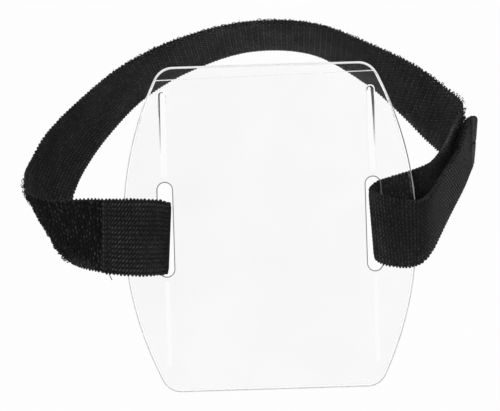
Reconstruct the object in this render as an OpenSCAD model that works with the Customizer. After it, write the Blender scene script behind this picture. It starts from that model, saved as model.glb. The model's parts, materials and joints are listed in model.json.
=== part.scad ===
// Clear arm-badge holder: a vinyl card pocket on an elastic hook-and-loop armband.
// It rests on a table as worn open: the pocket leans back on its lower edge and
// the armband stands behind it on its own lower edge.
// Pocket frame: u across, v up the pocket, n out of the pocket's front.

/* [Pocket] */
// Widest width of the clear pocket, at mid height
pocket_w = 100; // [96:1:106]
// Height of the back sheet
pocket_h = 111; // [104:1:118]
// How far each side bows out between the top and bottom edges
side_bow = 14; // [10:1:16]
// Radius of the four outer corners
corner_r = 7; // [5:0.5:9]
// Thickness of each vinyl sheet
sheet_t = 0.5; // [0.3:0.1:0.6]
// Room for a card between the two sheets
card_gap = 0.9; // [0.7:0.1:1]
// How far the front sheet stops below the back sheet's top edge
mouth_drop = 4; // [2:0.5:8]
// Width of the welded seam round the sides and the bottom
edge_weld_w = 1.2; // [0.8:0.1:2]

/* [Slots and pocket welds] */
// Distance from each slot's middle to the widest part of the pocket's side
slot_inset = 14.5; // [14:0.25:15.5]
// Length of each slot
slot_l = 32; // [32:0.5:36]
// Width of each slot
slot_w = 5; // [5:0.25:6]
// Width of each straight weld bar
weld_w = 2.4; // [1.6:0.2:3.2]
// Gap between a slot's end and the weld bar in line with it
weld_gap = 1.7; // [1:0.1:3]
// Distance from a weld bar's far end to the top or bottom edge
weld_margin = 8.5; // [7:0.5:14]
// Depth of the pressed groove over each weld bar
weld_press = 0.15; // [0.1:0.05:0.2]

/* [Armband] */
// Width of the elastic strap
strap_w = 25; // [24:0.5:25.5]
// Thickness of the elastic strap
strap_t = 1.6; // [1.2:0.1:1.7]
// Half the width of the loop where it stands on the table
loop_half = 70; // [68:1:74]
// How far the back of the loop stands behind the pocket's centre
loop_reach = 82; // [78:1:90]

/* [Hook tab] */
// Length of strap that carries the hook patch
tab_l = 16; // [14:1:18]
// Thickness of the hook patch
hook_t = 1.2; // [0.8:0.1:1.4]
// Margin left between the hook patch and the strap's edges
hook_margin = 0.8; // [0.5:0.1:2]

/* [Stitching] */
// Width of a thread stitch
thread_w = 0.45; // [0.3:0.05:0.6]
// Stitches in each seam
stitch_count = 11; // [7:1:13]
// How far a stitch stands out of the strap
stitch_proud = 0.15; // [0.1:0.05:0.3]

/* [Pose] */
// Angle between the pocket and the table
lean = 25; // [23:1:27]

/* [Hidden] */
clear_vinyl = [0.9, 0.93, 0.95, 0.4];
black_elastic = [0.07, 0.07, 0.08];
black_thread = [0.12, 0.12, 0.13];
pocket_t = 2 * sheet_t + card_gap;
bow_r = (pocket_h * pocket_h / 4 + side_bow * side_bow) / (2 * side_bow);
edge_u = pocket_w / 2;
slot_u = edge_u - slot_inset;
weld_l = pocket_h / 2 - weld_margin - slot_l / 2 - weld_gap;
lift = pocket_h / 2 * sin(lean) + pocket_t / 2 * cos(lean);
// Gap left between two solids that turn on each other
joint_gap = 0.3;
// Gap that keeps the hook patch's back clear of the twisted strap
hook_gap = 0.15;
hook_seat = strap_t / 2 + hook_gap;
// Part of the hook patch's thickness that its stitches go into
hook_bite = 0.6;
// Distance of a seam from the end of what it holds
seam_inset = 1.2;
// Distance of a seam's ends from the strap's edges
seam_margin = 1.5;
// Part of the stitch pitch that one stitch covers
stitch_share = 0.62;
stitch_pitch = (strap_w - 2 * seam_margin) / stitch_count;
stitch_l = stitch_share * stitch_pitch;
// Distance between the middles of the two strap layers where they are sewn together
sewn_step = 2.1;
// Keeps the smooth route of the lower edge above the table
foot_lift = 0.25;
route_steps = 4;
cut = 1;

// Shape of the sheets

function arc_points(centre, r, a0, a1, n) =
    [for (i = [0:n]) let (a = a0 + (a1 - a0) * i / n) centre + r * [cos(a), sin(a)]];

// Right half of the barrel outline, from the bottom corner up to the top corner,
// drawn a margin inside the pocket's outer edge
function right_half(margin) =
    let (
        r = corner_r - margin / 2,
        bow_centre = edge_u - bow_r,
        corner_v = pocket_h / 2 - margin - r,
        reach = bow_r - margin - r,
        corner_u = bow_centre + sqrt(reach * reach - corner_v * corner_v),
        meet = atan2(corner_v, corner_u - bow_centre)
    )
    concat(
        arc_points([corner_u, -corner_v], r, -90, -meet, 8),
        arc_points([bow_centre, 0], bow_r - margin, -meet, meet, 24),
        arc_points([corner_u, corner_v], r, meet, 90, 8));

module outline(margin) {
    half = right_half(margin);
    count = len(half);
    polygon(concat(half, [for (i = [1:count]) [-half[count - i][0], half[count - i][1]]]));
}

module slot_hole() {
    square([slot_w, slot_l - slot_w], center = true);
    for (end = [-1, 1])
        translate([0, end * (slot_l - slot_w) / 2])
            circle(d = slot_w, $fn = 40);
}

module weld_bar(w, l) {
    square([w, l - w], center = true);
    for (end = [-1, 1])
        translate([0, end * (l - w) / 2])
            circle(d = w, $fn = 32);
}

module at_weld(side, level) {
    translate([side * slot_u, level * (slot_l / 2 + weld_gap + weld_l / 2)])
        children();
}

module sheet_shape(top) {
    difference() {
        intersection() {
            outline(0);
            translate([-pocket_w, -pocket_h])
                square([2 * pocket_w, pocket_h + top]);
        }
        for (side = [-1, 1])
            translate([side * slot_u, 0])
                slot_hole();
    }
}

module on_table() {
    translate([-middle[0], -middle[1], lift])
        rotate([lean, 0, 0])
            children();
}

module back_sheet() {
    color(clear_vinyl)
        on_table()
            difference() {
                translate([0, 0, -pocket_t / 2])
                    linear_extrude(sheet_t)
                        sheet_shape(pocket_h / 2);
                translate([0, 0, -pocket_t / 2 - cut])
                    linear_extrude(cut + weld_press)
                        weld_grooves();
            }
}

module front_sheet() {
    color(clear_vinyl)
        on_table()
            difference() {
                translate([0, 0, card_gap / 2])
                    linear_extrude(sheet_t)
                        sheet_shape(pocket_h / 2 - mouth_drop);
                translate([0, 0, pocket_t / 2 - weld_press])
                    linear_extrude(cut + weld_press)
                        weld_grooves();
            }
}

module weld_grooves() {
    for (side = [-1, 1], level = [-1, 1])
        at_weld(side, level)
            weld_bar(weld_w, weld_l);
}

module edge_weld() {
    color(clear_vinyl)
        on_table()
            translate([0, 0, -card_gap / 2])
                linear_extrude(card_gap)
                    intersection() {
                        difference() {
                            outline(0);
                            outline(edge_weld_w);
                        }
                        translate([-pocket_w, -pocket_h])
                            square([2 * pocket_w, 3 * pocket_h / 2 - mouth_drop]);
                    }
}

module pocket_weld(side, level) {
    color(clear_vinyl)
        on_table()
            translate([0, 0, -card_gap / 2])
                linear_extrude(card_gap)
                    at_weld(side, level)
                        weld_bar(weld_w, weld_l);
}

// Route of the strap: each row is a point on the upper edge and one on the lower edge

function on_pocket(p) = [p[0],
    p[1] * cos(lean) - p[2] * sin(lean),
    p[1] * sin(lean) + p[2] * cos(lean) + lift];

// Rows given in the pocket's frame, counted from the pocket's left or right side
function left_row(upper, lower) =
    [on_pocket([-edge_u - upper[0], upper[1], upper[2]]),
     on_pocket([-edge_u - lower[0], lower[1], lower[2]])];

function right_row(upper, lower) =
    [on_pocket([edge_u + upper[0], upper[1], upper[2]]),
     on_pocket([edge_u + lower[0], lower[1], lower[2]])];

// Rows given from the slot's middle, for the folds that pass through the slots
function left_slot_row(upper, lower) =
    [on_pocket([-slot_u - upper[0], upper[1], upper[2]]),
     on_pocket([-slot_u - lower[0], lower[1], lower[2]])];

function right_slot_row(upper, lower) =
    [on_pocket([slot_u + upper[0], upper[1], upper[2]]),
     on_pocket([slot_u + lower[0], lower[1], lower[2]])];

// Rows of the standing loop: where the lower edge stands, as parts of the loop's
// half width and reach, and how far the upper edge leans out from it
function standing_row(x, y, lean_x, lean_y) =
    let (
        out = sqrt(lean_x * lean_x + lean_y * lean_y),
        foot = [x * loop_half, y * loop_reach, foot_lift + strap_t / 2 * out / strap_w]
    )
    [foot + [lean_x, lean_y, sqrt(strap_w * strap_w - out * out)], foot];

// Sewn end, in front of the left bar and through the left slot
flap_rows = [
    left_row([5.5, 10.8, 1], [6, -14, 1]),
    left_row([3.2, 10.6, 1.4], [3.7, -14.2, 1.4]),
    left_row([0.4, 10.4, 2.2], [0.8, -14.5, 2.2]),
    left_slot_row([7, 10.1, 2.4], [7, -14.9, 2.4]),
    left_slot_row([2, 10, 2.2], [2.3, -15, 2.2]),
    left_slot_row([-0.6, 9.9, 1.1], [0.1, -15.1, 1.1]),
    left_slot_row([-1.2, 9.9, -0.5], [-0.3, -15.1, -0.5]),
    left_slot_row([0.5, 10, -2], [1.3, -15, -2])
];

// Behind the left bar and round the soft fold on the left
left_rows = [
    left_slot_row([4.5, 10.1, -2.4], [5, -14.9, -2.4]),
    left_row([-1, 10.3, -2.3], [-0.5, -14.6, -2.3]),
    left_row([3.5, 10.6, -1.2], [4, -14.3, -1.6]),
    left_row([9, 10.9, -0.5], [10, -13.2, -4.5]),
    left_row([16, 11, -0.5], [15.5, -11.8, -9]),
    left_row([25, 11.3, -2.5], [20, -9.8, -14]),
    left_row([32, 13.5, -7], [23, -6, -18.5]),
    left_row([34.5, 18.5, -12], [23.5, 2, -24])
];

// Round the back, standing on the table
loop_rows = [
    standing_row(-0.99, 0.33, -13.5, 2),
    standing_row(-0.93, 0.44, -12, 3),
    standing_row(-0.81, 0.6, -9.5, 1.5),
    standing_row(-0.63, 0.775, -6, 0.5),
    standing_row(-0.385, 0.91, -3, -0.5),
    standing_row(-0.07, 1, -1, -2),
    standing_row(0.26, 0.975, 0, -1.5),
    standing_row(0.535, 0.815, 1.5, 2),
    standing_row(0.7, 0.66, 5.2, 6),
    standing_row(0.82, 0.53, 6.8, 8)
];

// Up the right side and behind the right bar
right_rows = [
    right_row([18.2, 40.5, -18.5], [12.5, 25.5, -32.5]),
    right_row([17, 37, -13.5], [15.4, 20.2, -30.4]),
    right_row([14.5, 32.5, -8.5], [16.2, 14.2, -26]),
    right_row([10.3, 25.7, -2.5], [13, 7.5, -20]),
    right_row([5.7, 20, 0.3], [8, 1, -14.5]),
    right_row([1, 17.3, -1.9], [3, -4, -10.5]),
    right_row([-4, 16.4, -2.4], [-1, -7.3, -6.5]),
    right_slot_row([5.5, 15.5, -2.3], [9, -9.2, -3.8])
];

// Through the right slot to the front
fold_rows = [
    right_slot_row([1.7, 14.5, -1.9], [3.7, -11, -2.6]),
    right_slot_row([-0.4, 13.4, -0.3], [1.1, -12.3, -1.4]),
    right_slot_row([-1.1, 12.4, 2.3], [0.4, -13.1, 0.3]),
    right_slot_row([-0.2, 11.2, 5.2], [1.5, -13.7, 1.8])
];

// Free end: in front of the right bar and back along the outside of the loop
tail_rows = [
    right_slot_row([2.1, 9.4, 8.2], [4, -14, 2.5]),
    right_slot_row([6, 7.6, 11], [8, -14.3, 2.9]),
    right_row([-3.5, 6.6, 13], [-2.5, -14.2, 2.9]),
    right_row([1, 6.9, 13.8], [1.6, -12.8, 1.6]),
    right_row([5, 9.2, 12.6], [5.6, -9, -3.2]),
    right_row([8, 12.7, 9.6], [9.6, -2.8, -9.5]),
    right_row([10.8, 17.6, 5], [13.9, 4.2, -15.5]),
    right_row([14.3, 25, -1.5], [18, 10.8, -21]),
    right_row([18.4, 33.9, -8.2], [21.2, 16.2, -26]),
    right_row([22.2, 35.7, -10.5], [22.8, 19.6, -29])
];

route = concat(flap_rows, left_rows, loop_rows, right_rows, fold_rows, tail_rows);
tail_start = (len(route) - len(tail_rows)) * route_steps;

// Smooth strap frames along the route: [middle, along, across, outwards]

function unit(v) = v / norm(v);

function curve(p0, p1, p2, p3, t) = 0.5 * (2 * p1 + (p2 - p0) * t
    + (2 * p0 - 5 * p1 + 4 * p2 - p3) * t * t
    + (3 * p1 - p0 - 3 * p2 + p3) * t * t * t);

function smooth(pts) =
    let (
        last = len(pts) - 1,
        all = concat([2 * pts[0] - pts[1]], pts, [2 * pts[last] - pts[last - 1]])
    )
    concat([for (i = [0:last - 1], j = [0:route_steps - 1])
        curve(all[i], all[i + 1], all[i + 2], all[i + 3], j / route_steps)], [pts[last]]);

upper_edge = smooth([for (row = route) row[0]]);
lower_edge = smooth([for (row = route) row[1]]);
route_end = len(upper_edge) - 1;
centres = (upper_edge + lower_edge) / 2;

function strap_frame(i) =
    let (
        across = unit(upper_edge[i] - lower_edge[i]),
        rough = centres[min(i + 1, route_end)] - centres[max(i - 1, 0)],
        out = unit(cross(rough, across))
    )
    [centres[i], cross(across, out), across, out];

frames = [for (i = [0:route_end]) strap_frame(i)];

function length_from(i) = i >= route_end ? 0
    : norm(centres[i + 1] - centres[i]) + length_from(i + 1);

// First frame whose distance to the strap's end is below the wanted length
function frame_before_end(l, i = 0) = length_from(i) <= l ? i : frame_before_end(l, i + 1);

tab_start = frame_before_end(tab_l, tail_start);

// The object's extent over the table, to set the origin under its middle
strap_corners = [for (f = frames, a = [-1, 1], h = [-1, 1])
    f[0] + a * strap_w / 2 * f[2] + h * strap_t / 2 * f[3]];
low_x = min([for (p = strap_corners) p[0]]);
high_x = max([for (p = strap_corners) p[0]]);
low_y = on_pocket([0, -pocket_h / 2, pocket_t / 2])[1];
high_y = max([for (p = strap_corners) p[1]]);
middle = [(low_x + high_x) / 2, (low_y + high_y) / 2];

// A length of strap between two frames, shortened at its ends, from one height to
// another over the strap's middle surface
module strap_length(first, last, trim_first, trim_last, half_w, low, high) {
    count = last - first;
    ends = [for (i = [first:last]) let (
            f = frames[i],
            shift = i == first ? trim_first : i == last ? -trim_last : 0
        ) [f[0] + shift * f[1], f[2], f[3]]];
    points = [for (f = ends, side = [[1, high], [1, low], [-1, low], [-1, high]])
        f[0] + side[0] * half_w * f[1] + side[1] * f[2]];
    // Both faces of a twisted strap are split along the same diagonal, so it keeps its thickness
    walls = [for (i = [0:count - 1], k = [0:3], half = [0, 1])
        let (a = 4 * i + k, b = 4 * i + (k + 1) % 4)
        k == 3 ? (half == 0 ? [a, b, a + 4] : [b, b + 4, a + 4])
            : (half == 0 ? [a, b, b + 4] : [a, b + 4, a + 4])];
    top = 4 * count;
    translate([-middle[0], -middle[1], 0])
        polyhedron(points, concat(walls, [[3, 2, 1], [3, 1, 0]],
            [[top, top + 1, top + 2], [top, top + 2, top + 3]]));
}

// A small block of thread that stands square to the strap at one frame
module stitch(f, along, across, low, high) {
    points = [for (h = [low, high], s = [[-1, -1], [1, -1], [1, 1], [-1, 1]])
        f[0] + (along + s[0] * thread_w / 2) * f[1]
            + (across + s[1] * stitch_l / 2) * f[2] + h * f[3]];
    translate([-middle[0], -middle[1], 0])
        polyhedron(points, [[0, 1, 2, 3], [7, 6, 5, 4], [0, 4, 5, 1],
            [1, 5, 6, 2], [2, 6, 7, 3], [3, 7, 4, 0]]);
}

module seam(f, along, low, high) {
    for (i = [0:stitch_count - 1])
        stitch(f, along, (i - (stitch_count - 1) / 2) * stitch_pitch, low, high);
}

module strap_band() {
    color(black_elastic)
        strap_length(0, tail_start, 0, joint_gap / 2, strap_w / 2, -strap_t / 2, strap_t / 2);
}

module band_seam() {
    color(black_thread)
        seam(frames[0], seam_inset, -sewn_step - strap_t / 2 - stitch_proud, strap_t / 2 + stitch_proud);
}

module strap_tail() {
    color(black_elastic)
        strap_length(tail_start, tab_start, joint_gap / 2, joint_gap / 2,
            strap_w / 2, -strap_t / 2, strap_t / 2);
}

module strap_tab() {
    color(black_elastic)
        strap_length(tab_start, route_end, joint_gap / 2, 0, strap_w / 2, -strap_t / 2, strap_t / 2);
}

module hook_patch() {
    color(black_elastic)
        strap_length(tab_start + 1, route_end - 1, 0, 0,
            strap_w / 2 - hook_margin, -hook_seat - hook_t, -hook_seat);
}

module hook_seam() {
    color(black_thread)
        for (end = [[tab_start + 1, seam_inset], [route_end - 1, -seam_inset]])
            seam(frames[end[0]], end[1], -hook_seat - hook_bite * hook_t, strap_t / 2 + stitch_proud);
}

back_sheet();
front_sheet();
edge_weld();
pocket_weld(-1, 1);  // weld_upper_left
pocket_weld(-1, -1);  // weld_lower_left
pocket_weld(1, 1);  // weld_upper_right
pocket_weld(1, -1);  // weld_lower_right
strap_band();
band_seam();
strap_tail();
strap_tab();
hook_patch();
hook_seam();
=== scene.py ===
"""Looks of a clear arm-badge holder: a vinyl card pocket on an elastic hook-and-loop armband."""
import json
import math

import bmesh
import bpy
import numpy as np
from mathutils import Matrix, Vector
from mathutils.geometry import tessellate_polygon

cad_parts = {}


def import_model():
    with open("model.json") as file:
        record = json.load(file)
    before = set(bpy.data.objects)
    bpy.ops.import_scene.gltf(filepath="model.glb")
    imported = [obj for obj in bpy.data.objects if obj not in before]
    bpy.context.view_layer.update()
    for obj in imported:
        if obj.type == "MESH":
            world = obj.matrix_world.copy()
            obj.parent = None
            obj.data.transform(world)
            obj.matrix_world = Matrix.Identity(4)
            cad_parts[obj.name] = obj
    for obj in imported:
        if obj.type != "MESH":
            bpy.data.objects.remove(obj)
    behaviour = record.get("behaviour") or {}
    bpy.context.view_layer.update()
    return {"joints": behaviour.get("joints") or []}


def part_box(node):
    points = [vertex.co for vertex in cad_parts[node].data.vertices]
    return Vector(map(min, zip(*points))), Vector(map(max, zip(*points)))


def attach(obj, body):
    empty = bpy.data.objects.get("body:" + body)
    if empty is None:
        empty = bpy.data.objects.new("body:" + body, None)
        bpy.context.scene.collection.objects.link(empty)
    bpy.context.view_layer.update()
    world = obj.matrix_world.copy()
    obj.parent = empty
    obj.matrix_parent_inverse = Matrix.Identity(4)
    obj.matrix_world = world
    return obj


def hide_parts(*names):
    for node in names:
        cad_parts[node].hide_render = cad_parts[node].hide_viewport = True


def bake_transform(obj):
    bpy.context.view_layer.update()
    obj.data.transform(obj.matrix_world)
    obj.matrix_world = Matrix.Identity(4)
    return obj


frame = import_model()
MM = 0.001
rng = np.random.default_rng(7)

# Pocket frame, from the CAD sheets: u across, v up the pocket, n out of its front


def node_box(node):
    """Lowest and highest corner of a CAD node in millimetres."""
    low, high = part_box(node)
    return np.array(low) / MM, np.array(high) / MM


LEAN = math.radians(25)
SHEET_T = 0.5
CARD_GAP = 0.9
POCKET_T = 2 * SHEET_T + CARD_GAP
SHEET_LOW, SHEET_HIGH = node_box("back_sheet")
POCKET_W = SHEET_HIGH[0] - SHEET_LOW[0]
POCKET_H = (SHEET_HIGH[1] - SHEET_LOW[1] - SHEET_T * math.sin(LEAN)) / math.cos(LEAN)
U_AXIS = np.array([1.0, 0.0, 0.0])
V_AXIS = np.array([0.0, math.cos(LEAN), math.sin(LEAN)])
N_AXIS = np.array([0.0, -math.sin(LEAN), math.cos(LEAN)])
POCKET_MIDDLE = (SHEET_LOW + SHEET_HIGH) / 2 + N_AXIS * (SHEET_T + CARD_GAP) / 2

SIDE_BOW = 14
CORNER_R = 7
MOUTH_DROP = 4
SLOT_INSET = 14.5
SLOT_L = 32
SLOT_W = 5
BAR_W = 2.4
LOWER_BAR_W = 1.6
BAR_GAP = 1.7
BAR_MARGIN = 8.5
BAR_PRESS = 0.15
EDGE_U = POCKET_W / 2
SLOT_U = EDGE_U - SLOT_INSET
BAR_L = POCKET_H / 2 - BAR_MARGIN - SLOT_L / 2 - BAR_GAP
BAR_V = SLOT_L / 2 + BAR_GAP + BAR_L / 2


def on_pocket(point):
    """Points of the pocket's frame, [u, v, n], in the shared frame, in millimetres."""
    point = np.asarray(point, float)
    return POCKET_MIDDLE + point @ np.stack([U_AXIS, V_AXIS, N_AXIS])


def unit(vectors):
    return vectors / np.linalg.norm(vectors, axis=-1, keepdims=True)


# Meshes


def new_piece(name, points, faces, materials, body="holder"):
    """A mesh from points in millimetres, which moves with a body."""
    mesh = bpy.data.meshes.new(name)
    mesh.from_pydata((np.reshape(points, (-1, 3)) * MM).tolist(), [], faces)
    mesh.update()
    for material in materials:
        mesh.materials.append(material)
    piece = bpy.data.objects.new(name, mesh)
    bpy.context.scene.collection.objects.link(piece)
    if body:
        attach(piece, body)
    return piece


def face_outwards(piece):
    """Turns every face of a closed mesh to the outside."""
    work = bmesh.new()
    work.from_mesh(piece.data)
    bmesh.ops.recalc_face_normals(work, faces=work.faces)
    work.to_mesh(piece.data)
    work.free()


def shade_smooth(piece):
    piece.data.polygons.foreach_set("use_smooth", [True] * len(piece.data.polygons))


def set_values(piece, name, values):
    """A number on each point of the mesh, for the material to read."""
    layer = piece.data.attributes.new(name, "FLOAT", "POINT")
    layer.data.foreach_set("value", np.asarray(values, np.float32).ravel())


def grid_faces(rows, ring, wrap=False):
    """Quads between closed rings of points, row after row; wrap joins the last row to the first."""
    i, j = np.meshgrid(np.arange(rows if wrap else rows - 1), np.arange(ring), indexing="ij")
    a, b = i * ring + j, i * ring + (j + 1) % ring
    total = rows * ring
    return np.stack([a, b, (b + ring) % total, (a + ring) % total], -1).reshape(-1, 4)


def capped_faces(rows, ring):
    """Quads between closed rings of points, and a face over each end."""
    last = (rows - 1) * ring
    ends = [list(reversed(range(ring))), list(range(last, last + ring))]
    return grid_faces(rows, ring).tolist() + ends


# Keeps the side of a straight thread defined
SMALL_SIDE = np.array([1e-5, 2e-5, 3e-5])


def tubes(paths, radius, sides):
    """Points and faces of round threads along paths, an array of paths x points x 3."""
    paths = np.asarray(paths, float)
    count, length = paths.shape[:2]
    along = unit(np.gradient(paths, axis=1))
    chord = paths[:, -1] - paths[:, 0]
    bow = paths[:, length // 2] - (paths[:, 0] + paths[:, -1]) / 2
    side = (np.cross(chord, bow) + SMALL_SIDE)[:, None, :]
    side = unit(side - along * np.sum(side * along, axis=2, keepdims=True))
    other = np.cross(along, side)
    angle = np.arange(sides) * 2 * math.pi / sides
    ring = (np.cos(angle)[:, None] * side[:, :, None, :]
            + np.sin(angle)[:, None] * other[:, :, None, :])
    points = paths[:, :, None, :] + radius * ring
    one = capped_faces(length, sides)
    starts = range(0, count * length * sides, length * sides)
    faces = [[start + k for k in face] for start in starts for face in one]
    return points.reshape(-1, 3), faces


# Materials


def node_material(name):
    material = bpy.data.materials.new(name)
    material.use_nodes = True
    material.node_tree.nodes.clear()
    shader = add(material, "ShaderNodeBsdfPrincipled")
    output = add(material, "ShaderNodeOutputMaterial", {"Surface": shader.outputs[0]})
    return material, shader, output


def feed(material, node, inputs):
    """Sets a node's inputs, each to a value or to a socket that is linked to it."""
    for key, value in dict(inputs).items():
        if isinstance(value, bpy.types.NodeSocket):
            material.node_tree.links.new(value, node.inputs[key])
        else:
            node.inputs[key].default_value = value


def add(material, kind, inputs=(), **settings):
    """A new node with its settings and inputs."""
    node = material.node_tree.nodes.new(kind)
    for key, value in settings.items():
        setattr(node, key, value)
    feed(material, node, inputs)
    return node


def attribute(material, name):
    """A number that is set on the mesh's points."""
    return add(material, "ShaderNodeAttribute", attribute_name=name).outputs["Fac"]


def calculate(material, operation, first, second):
    return add(material, "ShaderNodeMath", {0: first, 1: second}, operation=operation).outputs[0]


def reach_along(material, vectors, axis):
    """How far vectors reach along an axis."""
    inputs = {0: vectors, 1: axis}
    return add(material, "ShaderNodeVectorMath", inputs, operation="DOT_PRODUCT").outputs["Value"]


def noise(material, scale, detail=3.0, rough=0.5):
    """Noise by place on the object, scale in bumps a metre."""
    place = add(material, "ShaderNodeTexCoord").outputs["Object"]
    settings = {"Vector": place, "Scale": scale, "Detail": detail, "Roughness": rough}
    return add(material, "ShaderNodeTexNoise", settings).outputs["Fac"]


def to_range(material, value, low, high, new_low, new_high):
    ends = {"Value": value, "From Min": low, "From Max": high, "To Min": new_low, "To Max": new_high}
    return add(material, "ShaderNodeMapRange", ends).outputs["Result"]


NOISE_LOW = 0.3
NOISE_HIGH = 0.7


def varied(material, value, mean, extent):
    """Noise spread to both sides of a mean value."""
    return to_range(material, value, NOISE_LOW, NOISE_HIGH, mean - extent, mean + extent)


def bump(material, height, strength, distance):
    settings = {"Height": height, "Strength": strength, "Distance": distance}
    return add(material, "ShaderNodeBump", settings).outputs["Normal"]


COOL_TINT = 1.04


def ramp(material, value, stops):
    """Greys along a ramp, each a little cool."""
    node = add(material, "ShaderNodeValToRGB", {"Fac": value})
    for element, (position, grey) in zip(node.color_ramp.elements, stops):
        element.position = position
        element.color = (grey, grey, grey * COOL_TINT, 1.0)
    return node.outputs["Color"]


VINYL_IOR = 1.23
RIM_SHADE = 0.2
SMUDGE_SCALE = 60
SMUDGE_RANGE = (0.35, 0.75)
SMUDGE_ROUGHER = 2.5
RIPPLE_SCALE = 35
RIPPLE_DEPTH = 0.001


def vinyl(name, tint, roughness, clear, ripple, shaded=False):
    """Clear soft vinyl: smudged gloss, faint ripples, and lamps shine through it."""
    material, shader, output = node_material(name)
    colour = (tint, tint, tint, 1.0)
    smudge = noise(material, SMUDGE_SCALE, detail=4.0, rough=0.6)
    ripples = noise(material, RIPPLE_SCALE, detail=2.0)
    feed(material, shader, {
        "Base Color": colour,
        "IOR": VINYL_IOR,
        "Transmission Weight": clear,
        "Roughness": to_range(material, smudge, *SMUDGE_RANGE, roughness, roughness * SMUDGE_ROUGHER),
        "Normal": bump(material, ripples, ripple, RIPPLE_DEPTH)})
    # Painted refraction on the rim: its colour is darkened where its shade number is high
    if shaded:
        stops = [(0.0, tint), (1.0, tint * RIM_SHADE)]
        feed(material, shader, {"Base Color": ramp(material, attribute(material, "shade"), stops)})
    through = add(material, "ShaderNodeBsdfTransparent", {"Color": colour})
    shadow = add(material, "ShaderNodeLightPath").outputs["Is Shadow Ray"]
    mix = add(material, "ShaderNodeMixShader", {0: shadow, 1: shader.outputs[0], 2: through.outputs[0]})
    feed(material, output, {"Surface": mix.outputs[0]})
    return material


GREYING_DEEP = 0.955
GREYING_SPAN = 0.11
GREYING_FALL = V_AXIS * 0.8 - U_AXIS * 0.6
GREYING_RANGE = (0.15, 0.75)
GREYING_SCALE = 45
PATCH_RANGE = (0.35, 0.65)
PATCH_DEPTHS = (-0.25, 0.25)


def grey_in_patches(material, tint):
    """Faintly greyer vinyl, in soft patches, greyest at the upper left."""
    spot = add(material, "ShaderNodeTexCoord").outputs["Object"]
    level = reach_along(material, spot, GREYING_FALL.tolist())
    start = float(POCKET_MIDDLE @ GREYING_FALL) * MM - GREYING_SPAN / 2
    slope = to_range(material, level, start, start + GREYING_SPAN, *GREYING_RANGE)
    cloud = to_range(material, noise(material, GREYING_SCALE), *PATCH_RANGE, *PATCH_DEPTHS)
    depth = calculate(material, "ADD", slope, cloud)
    grey = to_range(material, depth, 0, 1, tint, tint * GREYING_DEEP)
    feed(material, material.node_tree.nodes["Principled BSDF"], {"Base Color": grey})


# Painted refraction: grey streaks that stand for the dark strap seen bent through the upper weld bars
STREAK_SCALE = 900
STREAK_VARIES = 0.3
STREAK_ROUGH = 0.4


def painted_streak_material(name, grey):
    """Painted refraction: a grey streak on the vinyl that stands for the dark strap seen bent through the
    weld, and fades out where its strength falls.
    """
    material, shader, _ = node_material(name)
    stops = [(NOISE_LOW, grey * (1 - STREAK_VARIES)), (NOISE_HIGH, grey * (1 + STREAK_VARIES))]
    feed(material, shader, {
        "Base Color": ramp(material, noise(material, STREAK_SCALE), stops),
        "Roughness": STREAK_ROUGH,
        "Alpha": attribute(material, "strength")})
    return material


FIBRE_SHEEN = (0.0045, 0.108)
SHEEN_FULL = 0.6
SHEEN_ROUGH = 0.4
TONE_START = 0.1
WORN_SCALE = 90
WORN_VARIES = 0.2
MOTTLE_SCALE = 2600
MOTTLE_VARIES = 0.7
LOOSE_VARIES = 0.12
ROUGH_VARIES = 0.1
FUZZ_BUMP = (0.5, 0.0002)
YARN_GLOSS = 0.08


def fabric(name, dark, light, roughness, fuzz_scale):
    """Black yarn painted lighter where the knit stands up, a painted highlight on the stitch tops over the
    knit's own pattern, with mottled, fuzzy fibres.
    """
    material, shader, _ = node_material(name)
    fibres = noise(material, fuzz_scale, detail=5.0, rough=0.65)
    worn = varied(material, noise(material, WORN_SCALE), 1, WORN_VARIES)
    mottle = varied(material, noise(material, MOTTLE_SCALE, detail=2.0), 1, MOTTLE_VARIES)
    uneven = calculate(material, "MULTIPLY", worn, mottle)
    # The raised number carries the knit's own pattern together with the painted light and shade laid on
    # the strap
    high = calculate(material, "MULTIPLY", attribute(material, "raised"), uneven)
    tone = calculate(material, "ADD", high, varied(material, fibres, 0, LOOSE_VARIES))
    feed(material, shader, {
        "Base Color": ramp(material, tone, [(TONE_START, dark), (1.0, light)]),
        "Roughness": varied(material, fibres, roughness, ROUGH_VARIES),
        "Normal": bump(material, fibres, *FUZZ_BUMP),
        "Specular IOR Level": YARN_GLOSS,
        "Sheen Weight": to_range(material, tone, TONE_START, SHEEN_FULL, *FIBRE_SHEEN),
        "Sheen Roughness": SHEEN_ROUGH})
    return material


clear_vinyl = vinyl("clear_vinyl", 1.0, 0.012, 1.0, 0.02)
patched_grey_vinyl = vinyl("patched_grey_vinyl", 1.0, 0.012, 1.0, 0.02)
grey_in_patches(patched_grey_vinyl, 1.0)
lip_vinyl = vinyl("lip_vinyl", 1.0, 0.05, 0.85, 0.1)
pressed_vinyl = vinyl("pressed_vinyl", 1.0, 0.03, 1.0, 0.08)
welded_vinyl = vinyl("welded_vinyl", 0.95, 0.05, 0.35, 0.1)
edge_vinyl = vinyl("edge_vinyl", 0.97, 0.1, 0.1, 0.1)
rim_vinyl = vinyl("rim_vinyl", 0.97, 0.1, 0.1, 0.02, True)
slot_vinyl = vinyl("slot_vinyl", 0.3, 0.1, 0.4, 0.1)
# Painted refraction streaks beside the upper weld bars
refraction_streak_vinyl = painted_streak_material("refraction_streak_vinyl", 0.03)
knit_fabric = fabric("elastic_knit", 0.004, 0.095, 0.75, 9000)
pile_fabric = fabric("elastic_pile", 0.0045, 0.075, 0.9, 7000)
thread_black = fabric("thread", 0.004, 0.04, 0.6, 12000)
hook_plastic = fabric("hook_tape", 0.004, 0.03, 0.5, 6000)

# Pocket

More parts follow.
